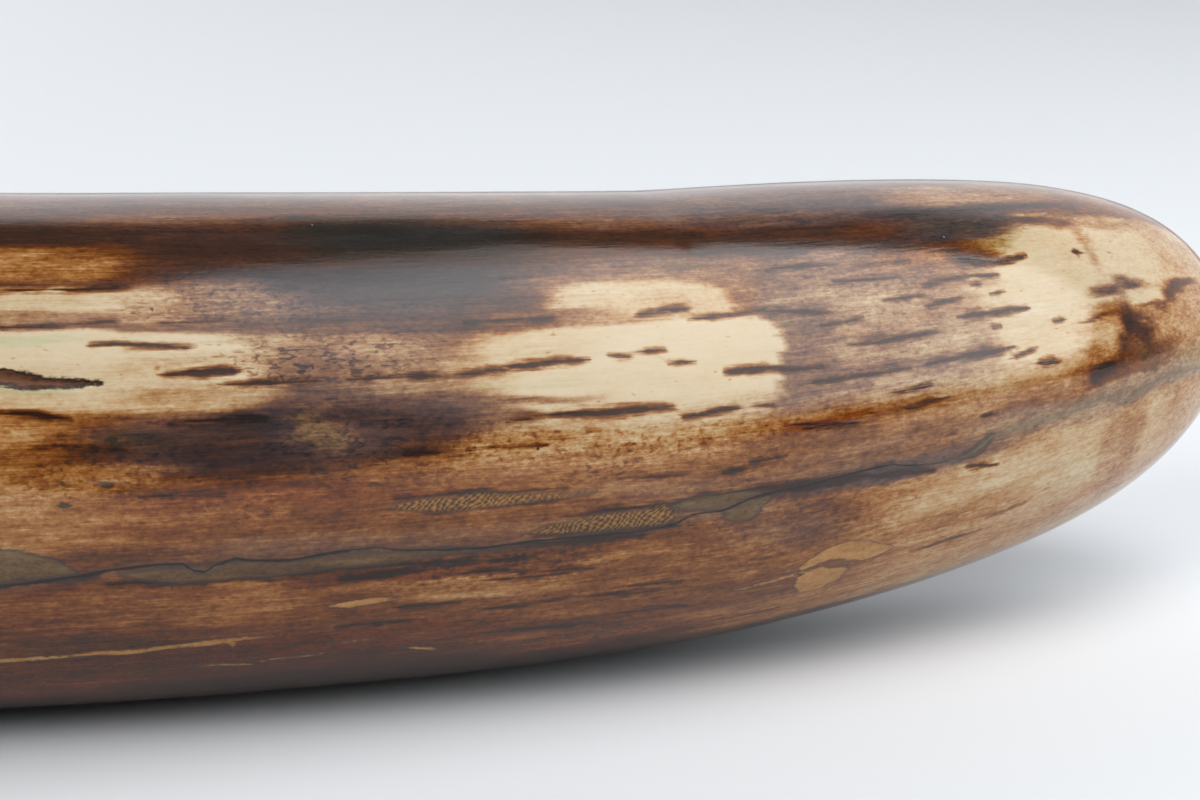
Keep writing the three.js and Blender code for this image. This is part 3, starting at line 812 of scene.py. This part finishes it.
OCHRE_COLOURS = [(0.1, srgb(128, 86, 42)), (0.5, srgb(164, 116, 62)), (0.9, srgb(184, 142, 90))]

# Spacing in mm of the growth lines that lean one way and the other, and of the rings on the sawn face.
LEAN_SPACING = 0.62
CROSS_SPACING = 0.9
RING_SPACING = 1.2
BROAD_RING_SPACING = 9.0

POLISH_ROUGHNESS = 0.10
IVORY_IOR = 1.47


class Skin:
    """The finish while it is put together: short names for its nodes, the noises and the painted
    amounts that several layers share, and the colour that is laid so far."""

    def __init__(self, tree):
        self.tree = tree
        self.colour = None
        self.fibre = self.noise(6.5, 0.5, 4, 0.68)
        self.strand = self.noise(20, 1.7, 3, 0.6, 0.25)
        self.mottle = self.noise(3.4, 1.9, 3, 0.62)
        self.cloud = self.noise(14, 6, 2, 0.5)
        self.grain = self.noise(0.75, 0.42, 2, 0.7)
        self.hair = self.noise(4.5, 0.24, 2, 0.7)
        self.grit = self.noise(0.7, 0.5, 3, 0.7)

        self.painted = self.field("stain")
        self.pepper = self.noise(1.3, 0.6, 1, 0.5).step(0.62, 0.95) * self.painted.step(0.4, 0.1)

        # the slits' ragged edges, and the fringe of stain round them
        self.slit_half = self.field("slit_half")
        ragged = (self.grain * 0.18 + self.noise(1.6, 0.7, 2, 0.6) * 0.40) * self.slit_half
        self.slit_off = self.field("slit_off") + ragged
        fringe_half = self.slit_half * 1.3 + self.fibre * 0.35 + self.mottle * 0.25 + 0.1
        self.fringe = (fringe_half - self.slit_off).step(-0.30, 0.35)

        warmth_here = self.field("warmth") + self.cloud * 0.18 + self.strand * 0.16
        self.warmth = warmth_here + self.pepper * 0.5 + self.fringe * 0.3
        self.deep = (self.warmth * self.painted.step(0.2, 0.5)).step(1.0, 2.0)

    def attribute(self, name):
        """The node that reads one of the mesh's attributes."""
        node = self.tree.nodes.new("ShaderNodeAttribute")
        node.attribute_name = name
        return node

    def field(self, name):
        """A painted field, as an amount."""
        return Amount(self.tree, self.attribute(name).outputs["Fac"])

    def places(self):
        """The straightened skin's own coordinates in mm, as three amounts: along, inward and upward."""
        return split(self.tree, self.attribute("straight").outputs["Vector"])

    def noise(self, along, across, detail=2.0, roughness=0.5, distortion=0.0):
        """Noise of about -1 to 1 on the straightened skin, in cells of along by across mm."""
        cells = self.tree.nodes.new("ShaderNodeMapping")
        cells.inputs["Scale"].default_value = (1 / along, 1 / across, 1 / across)
        self.tree.links.new(self.attribute("straight").outputs["Vector"], cells.inputs["Vector"])
        node = self.tree.nodes.new("ShaderNodeTexNoise")
        node.inputs["Scale"].default_value = 1.0
        node.inputs["Detail"].default_value = detail
        node.inputs["Roughness"].default_value = roughness
        node.inputs["Distortion"].default_value = distortion
        self.tree.links.new(cells.outputs["Vector"], node.inputs["Vector"])
        return Amount(self.tree, node.outputs["Fac"]).math("MULTIPLY_ADD", 3.2, -1.6)

    def ramp(self, amount, stops):
        """A colour read off a ramp of (place, colour) stops."""
        node = self.tree.nodes.new("ShaderNodeValToRGB")
        while len(node.color_ramp.elements) < len(stops):
            node.color_ramp.elements.new(0.5)
        for element, (place, colour) in zip(node.color_ramp.elements, stops):
            element.position = place
            element.color = colour
        feed(self.tree, amount, node.inputs["Fac"])
        return node.outputs["Color"]

    def blend(self, amount, under, over, kind="MIX"):
        """One colour over another by an amount. The sockets that a colour mix uses are 0, 6 and 7."""
        node = self.tree.nodes.new("ShaderNodeMix")
        node.data_type = "RGBA"
        node.blend_type = kind
        feed(self.tree, amount, node.inputs[0])
        feed(self.tree, under, node.inputs[6])
        feed(self.tree, over, node.inputs[7])
        return node.outputs[2]

    def lay(self, amount, over, kind="MIX"):
        """Lays a colour over the one that is laid so far."""
        self.colour = self.blend(amount, self.colour, over, kind)


def lay_stain(skin):
    """The painted stain, frayed by the noises, most of all where it is half dark. A grey and an
    orange ramp are blended by warmth, then deep places are reddened and green ones tinted."""
    busy = skin.painted * skin.painted.flipped() * 3.5 + 0.09
    threads = skin.fibre * 0.12 + skin.hair * 0.13 + skin.strand * 0.12
    darkness_here = skin.painted + (threads + skin.mottle * 0.11 + skin.cloud * 0.06) * busy
    dots = skin.noise(0.85, 0.55, 1, 0.5).step(0.05, 0.75)
    darkness_here = darkness_here + (skin.grain * 0.14 + dots * 0.26 - 0.07) * skin.field("specks") * busy
    darkness_here = darkness_here + skin.grain * busy * 0.09
    worms = skin.noise(1.25, 0.55, 2, 0.5, 0.9).step(0.0, 0.5)
    darkness_here = darkness_here + (worms * 0.40 - 0.12) * skin.field("flecks") + skin.pepper * 0.22
    darkness_here = darkness_here + skin.fringe * (skin.painted.step(0.5, 0.1) * 0.26 + 0.24)

    warm = skin.ramp(darkness_here, WARM_STAINS)
    cool = skin.ramp(darkness_here, COOL_STAINS)
    skin.colour = skin.blend(skin.warmth.step(0.0, 1.0), cool, warm)
    skin.lay(skin.deep, (0.82, 0.52, 0.24, 1), "MULTIPLY")
    green_here = (skin.field("green") + skin.strand * 0.18 + skin.fibre * 0.1).step(0.15, 0.9)
    skin.lay(green_here * 0.7, (0.66, 0.86, 0.70, 1), "MULTIPLY")


def lay_slits(skin):
    """Slits and ticks: a dark rim, fainter on cool dark skin, round a mauve-brown bed. Returns the rim."""
    frayed = (skin.fibre * 0.3 + skin.hair * 0.2 + skin.mottle * 0.25) * skin.slit_half
    edge = skin.slit_half * 0.64 + frayed
    tick_depth = skin.field("ticks") + skin.grain * 0.05
    rim = (edge - skin.slit_off).step(-0.13, 0.09).most(tick_depth.step(-0.12, 0.06))
    bed = (edge * 0.4 - skin.slit_off).step(-0.08, 0.10)
    faint = skin.warmth.step(0.5, 0.1) * skin.painted.step(0.2, 0.5)
    skin.lay(rim * (faint * -0.3 + 0.94), skin.ramp(skin.warmth * 0.5, RIM_COLOURS))
    skin.lay(bed * skin.warmth.step(0.6, 0.1) * 0.22, srgb(112, 92, 86))
    return rim


def lay_knot(skin):
    """The knot, with a dark red-brown heart in a black rim and a green-grey edge, and the pits.
    Returns the knot's depth."""
    depth = skin.field("knot") + skin.grain * 0.18 + skin.mottle * 0.26 + skin.fibre * 0.18 - 0.12
    inward = (depth + skin.fibre * 0.25 + skin.grain * 0.2).step(-0.3, 0.8)
    skin.lay(depth.step(-0.25, 0.05), skin.ramp(inward, KNOT_COLOURS))
    pit_depth = skin.field("pit") + skin.grain * 0.08
    skin.lay(pit_depth.step(-0.12, 0.08) * 0.85, srgb(46, 46, 38))
    return depth


def lay_growth_lines(skin):
    """Crossed growth lines: two sets of fine golden waves that lean both ways and fray at the bands'
    edges. Returns the bands' depth and the waves."""
    along, _, upward = skin.places()
    depth = skin.field("hatch") + skin.fibre * 0.16 + skin.mottle * 0.18
    leaning = (along + upward * 0.9 + skin.mottle * 0.8 + skin.grain * 0.14) * (2 * np.pi / LEAN_SPACING)
    crossing = (along - upward * 1.3 + skin.mottle * 0.9 + skin.grain * 0.16) * (2 * np.pi / CROSS_SPACING)
    weave = leaning.wave() * 0.5 + crossing.wave() * 0.25 + skin.grain * 0.7 + skin.fibre * 0.5
    weave = weave.step(-0.8, 1.2)
    skin.lay(depth.size().step(0.32, 0.05) * 0.45, srgb(54, 46, 44))
    skin.lay(depth.step(-0.15, 0.45) * 0.88, skin.blend(weave, srgb(58, 40, 28), srgb(160, 116, 58)))
    return depth, weave


def lay_olive(skin):
    """The olive filling, gritty and speckled with dark grains, in a dark outline. Returns its depth."""
    depth = skin.field("olive") + skin.grit * 0.12 + skin.mottle * 0.22 + skin.fibre * 0.18
    shade = skin.grit * 0.34 + skin.strand * 0.3 + skin.fibre * 0.2 + skin.mottle * 0.26
    filling = skin.ramp(shade + skin.field("warmth") * 0.3 + 0.2, OLIVE_COLOURS)
    filling = skin.blend(skin.grit.step(0.1, 0.9) * 0.6, filling, srgb(50, 39, 31))
    skin.lay(depth.size().step(0.45, 0.0) * 0.75, srgb(54, 48, 46))
    skin.lay(depth.step(-0.15, 0.40) * 0.84, filling)
    return depth


def lay_ochre(skin):
    """The ochre filling, redder where the stain is deep, in a brown outline. Returns its depth."""
    depth = skin.field("ochre") + skin.grit * 0.12 + skin.fibre * 0.10 + skin.hair * 0.08
    filling = skin.ramp(skin.grit * 0.28 + skin.mottle * 0.24 + skin.fibre * 0.16 + 0.5, OCHRE_COLOURS)
    filling = skin.blend(skin.deep * 0.7, filling, (0.95, 0.90, 0.55, 1), "MULTIPLY")
    skin.lay(depth.size().step(0.35, 0.0) * 0.65, srgb(74, 50, 40))
    skin.lay(depth.step(-0.08, 0.16), filling)
    return depth


def lay_crack(skin):
    """The long crack, in a soft grey shade: a black hairline towards the sawn end, a pale thin seam at
    the nose. Returns the seam."""
    along, _, _ = skin.places()
    off = skin.field("crack") + skin.grain * 0.06 + skin.fibre * 0.08
    seam = (off.size() + skin.noise(3.0, 2.0, 2) * 0.08 + along.step(100, 84) * 0.05).step(0.24, 0.05)
    toward_nose = along.step(58.0, 44.0)
    skin.lay((off.size() + skin.fibre * 0.2).step(1.3, 0.1) * 0.34, srgb(62, 52, 50))
    seam_colour = skin.blend(toward_nose, srgb(30, 26, 26), srgb(112, 106, 88))
    skin.lay(seam * (toward_nose * -0.15 + 0.95), seam_colour)
    return seam


def lay_lint(skin):
    """Lint and dust, in pale grey. Returns where they lie."""
    dust = skin.noise(0.32, 0.32, 1, 0.5).step(1.12, 1.3)
    in_lint = skin.field("lint").step(-0.10, 0.04).most(dust * 0.5)
    skin.lay(in_lint * 0.5, srgb(190, 190, 190))
    return in_lint


def lay_sawn_face(skin):
    """The sawn face: fine and broad growth rings in cream ivory under a dark bark, round a dark spot of
    painted shade where a small nerve hole would be, on a face that is itself flat."""
    _, inward, upward = skin.places()
    out = (inward * inward + upward * upward).math("SQRT")
    wobble = skin.noise(40, 5, 3, 0.6)
    rings = ((out + wobble * 0.5) * (2 * np.pi / RING_SPACING)).wave()
    broad = ((out + wobble * 1.5) * (2 * np.pi / BROAD_RING_SPACING)).wave()
    # hole darkens the middle of the face: painted shade for a small nerve hole that the flat face doesn't
    # have
    bark, hole = out.step(22, 30), out.step(2.4, 0.8)
    darkness_here = rings * 0.03 + broad * 0.03 + 0.16 + bark * 0.45 + hole * 0.75
    darkness_here = darkness_here + skin.noise(40, 9, 3, 0.6).step(0.2, 1.2) * 0.25
    skin.lay(skin.field("face"), skin.ramp(darkness_here, WARM_STAINS))


def ivory_finish():
    """Polished ivory: the stain, then the slits, the knot, the crossed growth lines, the fillings, the
    crack and the lint, each on top of the last. It is glossy, and duller in the cuts, the fillings
    and on the sawn face."""
    material = bpy.data.materials.new("polished_ivory")
    material.use_nodes = True
    tree = material.node_tree
    shader = tree.nodes["Principled BSDF"]

    skin = Skin(tree)
    lay_stain(skin)
    rim = lay_slits(skin)
    knot_depth = lay_knot(skin)
    hatch_depth, weave = lay_growth_lines(skin)
    olive_depth = lay_olive(skin)
    ochre_depth = lay_ochre(skin)
    seam = lay_crack(skin)
    in_lint = lay_lint(skin)
    lay_sawn_face(skin)
    tree.links.new(skin.colour, shader.inputs["Base Color"])

    dull = (olive_depth.step(-0.05, 0.12) * 0.6).most(ochre_depth.step(-0.05, 0.12) * 0.5)
    dull = dull.most(knot_depth.step(-0.1, 0.3)).most(skin.field("face"))
    roughness = skin.fibre * 0.02 + skin.strand * 0.015 + POLISH_ROUGHNESS + rim * 0.05 + dull * 0.28
    feed(tree, roughness, shader.inputs["Roughness"])
    shader.inputs["IOR"].default_value = IVORY_IOR

    # fine relief, in mm
    height = skin.fibre * 0.0035 + skin.grain * 0.002 + skin.strand * 0.006 + skin.cloud * 0.01
    height = height - rim * 0.008 - seam * 0.03 + skin.grit * dull * 0.012
    height = height + weave * hatch_depth.step(0, 0.2) * 0.01 + in_lint * 0.04
    bump = tree.nodes.new("ShaderNodeBump")
    bump.inputs["Strength"].default_value = 1.0
    bump.inputs["Distance"].default_value = MM
    feed(tree, height, bump.inputs["Height"])
    tree.links.new(bump.outputs["Normal"], shader.inputs["Normal"])
    return material


# ---------------------------------------------------------------- stage

# The view: its lens and sensor in mm, its distance in metres and its height in degrees. It is aimed
# beside the nose, at a place in metres.
VIEW_LENS = 100.0
VIEW_SENSOR = 36.0
VIEW_DISTANCE = 0.345
VIEW_ELEVATION = 15.0
AIM_LEFT_OF_NOSE = 0.073
AIM_BEFORE_NOSE = 0.0681
AIM_HEIGHT = 0.0369

# The long softbox: its distance from the aim in metres, its way from there and the way it lies. Its
# corners are on a plane square to its way, in shares of its distance. There its glow rises from dark
# to full over the front fade, and sinks to the far glow's share of that over the far fade.
SOFTBOX_DISTANCE = 0.7
SOFTBOX_WAY = (0.62, -0.30, 0.72)
SOFTBOX_LONG_WAY = (-0.648, 0.314, 0.689)
SOFTBOX_OUTLINE = [(0.45, -0.80), (0.82, 1.08), (0.35, 1.03), (-0.75, 0.48), (-0.75, -0.35), (-0.40, -0.80)]
SOFTBOX_GLOW = 3.3
SOFTBOX_FAR_GLOW = 0.2
FRONT_FADE = (-0.75, 0.15)
FAR_FADE = (0.62, 1.10)

# Weak square fill lights: (name, way from the aim, power), with their distance and side in metres.
FILLS = [("front_fill", (-0.5, -0.6, 0.6), 4.0), ("rear_fill", (-0.6, 0.75, 0.28), 2.2)]
FILL_DISTANCE = 0.9
FILL_SIDE = 0.5

FLOOR_HALF = 20.0
FLOOR_COLOUR = (0.78, 0.81, 0.84, 1)
FLOOR_ROUGHNESS = 0.7
BACKDROP_COLOUR = (1.10, 1.13, 1.17, 1)
DIM_COLOUR = (0.03, 0.03, 0.03, 1)


def facing(toward, long_way):
    """Turn of a camera or light that looks back along toward, with its upright nearest to long_way."""
    back = Vector(toward).normalized()
    across = Vector(long_way).cross(back).normalized()
    upright = back.cross(across)
    return Matrix((across, upright, back)).transposed().to_quaternion()


def put(name, data, aim, way, distance, long_way):
    """A thing that stands at a distance from the aim and faces it."""
    thing = bpy.data.objects.new(name, data)
    thing.location = Vector(aim) + way * distance
    thing.rotation_mode = "QUATERNION"
    thing.rotation_quaternion = facing(way, long_way)
    bpy.context.scene.collection.objects.link(thing)
    return thing


def add_camera(aim):
    """A close view of the nose from a little above, on a long lens."""
    data = bpy.data.cameras.new("view")
    data.lens = VIEW_LENS
    data.sensor_width = VIEW_SENSOR
    data.clip_start = 0.01
    elevation = np.radians(VIEW_ELEVATION)
    away = Vector((0, -np.cos(elevation), np.sin(elevation)))
    bpy.context.scene.camera = put("view", data, aim, away, VIEW_DISTANCE, (0, 0, 1))


def softbox_cloth():
    """Cloth that dims evenly towards the front and towards its far end."""
    material = bpy.data.materials.new("softbox_cloth")
    material.use_nodes = True
    tree = material.node_tree
    tree.nodes.clear()
    across, along, _ = split(tree, tree.nodes.new("ShaderNodeTexCoord").outputs["Object"])
    front = across.mapped(*(share * SOFTBOX_DISTANCE for share in FRONT_FADE), 0, SOFTBOX_GLOW)
    far = along.mapped(*(share * SOFTBOX_DISTANCE for share in FAR_FADE), 1, SOFTBOX_FAR_GLOW)
    glow = tree.nodes.new("ShaderNodeEmission")
    out = tree.nodes.new("ShaderNodeOutputMaterial")
    feed(tree, front * far, glow.inputs["Strength"])
    tree.links.new(glow.outputs[0], out.inputs["Surface"])
    return material


def add_softbox(aim):
    """A long softbox over the nose, right of the middle."""
    mesh = bpy.data.meshes.new("softbox")
    corners = [(a * SOFTBOX_DISTANCE, b * SOFTBOX_DISTANCE, 0) for a, b in SOFTBOX_OUTLINE]
    mesh.from_pydata(corners, [], [tuple(range(len(corners)))])
    mesh.materials.append(softbox_cloth())
    way = Vector(SOFTBOX_WAY).normalized()
    softbox = put("softbox", mesh, aim, way, SOFTBOX_DISTANCE, SOFTBOX_LONG_WAY)
    softbox.visible_camera = False


def add_fill_lights(aim):
    """Weak lights that even out the floor."""
    for name, way, power in FILLS:
        data = bpy.data.lights.new(name, "AREA")
        data.size = FILL_SIDE
        data.energy = power
        light = put(name, data, aim, Vector(way).normalized(), FILL_DISTANCE, (0, 0, 1))
        light.visible_camera = False


def add_floor():
    """A plain pale floor, level under the tusk."""
    mesh = bpy.data.meshes.new("floor")
    half = FLOOR_HALF
    corners = [(-half, -half, 0), (half, -half, 0), (half, half, 0), (-half, half, 0)]
    mesh.from_pydata(corners, [], [(0, 1, 2, 3)])
    floor = bpy.data.objects.new("floor", mesh)
    material = bpy.data.materials.new("pale_floor")
    material.use_nodes = True
    shader = material.node_tree.nodes["Principled BSDF"]
    shader.inputs["Base Color"].default_value = FLOOR_COLOUR
    shader.inputs["Roughness"].default_value = FLOOR_ROUGHNESS
    mesh.materials.append(material)
    bpy.context.scene.collection.objects.link(floor)


def add_world():
    """A studio with a bright backdrop that rises to 40 degrees behind the tusk, and dim elsewhere."""
    world = bpy.data.worlds.new("studio")
    bpy.context.scene.world = world
    world.use_nodes = True
    tree = world.node_tree
    _, behind, height = split(tree, tree.nodes.new("ShaderNodeTexCoord").outputs["Generated"])
    ramp = tree.nodes.new("ShaderNodeValToRGB")
    ramp.color_ramp.elements[0].color = DIM_COLOUR
    ramp.color_ramp.elements[1].color = BACKDROP_COLOUR
    feed(tree, height.step(0.72, 0.60) * behind.step(0.0, 0.5), ramp.inputs["Fac"])
    tree.links.new(ramp.outputs["Color"], tree.nodes["Background"].inputs["Color"])


tusk, nose = make_skin()
tusk.data.materials.append(ivory_finish())
aim = (nose[0] - AIM_LEFT_OF_NOSE, nose[1] - AIM_BEFORE_NOSE, AIM_HEIGHT)
add_camera(aim)
add_floor()
add_world()
add_softbox(aim)
add_fill_lights(aim)
bpy.context.scene.view_settings.view_transform = "Standard"

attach(tusk, "root")
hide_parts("tusk")
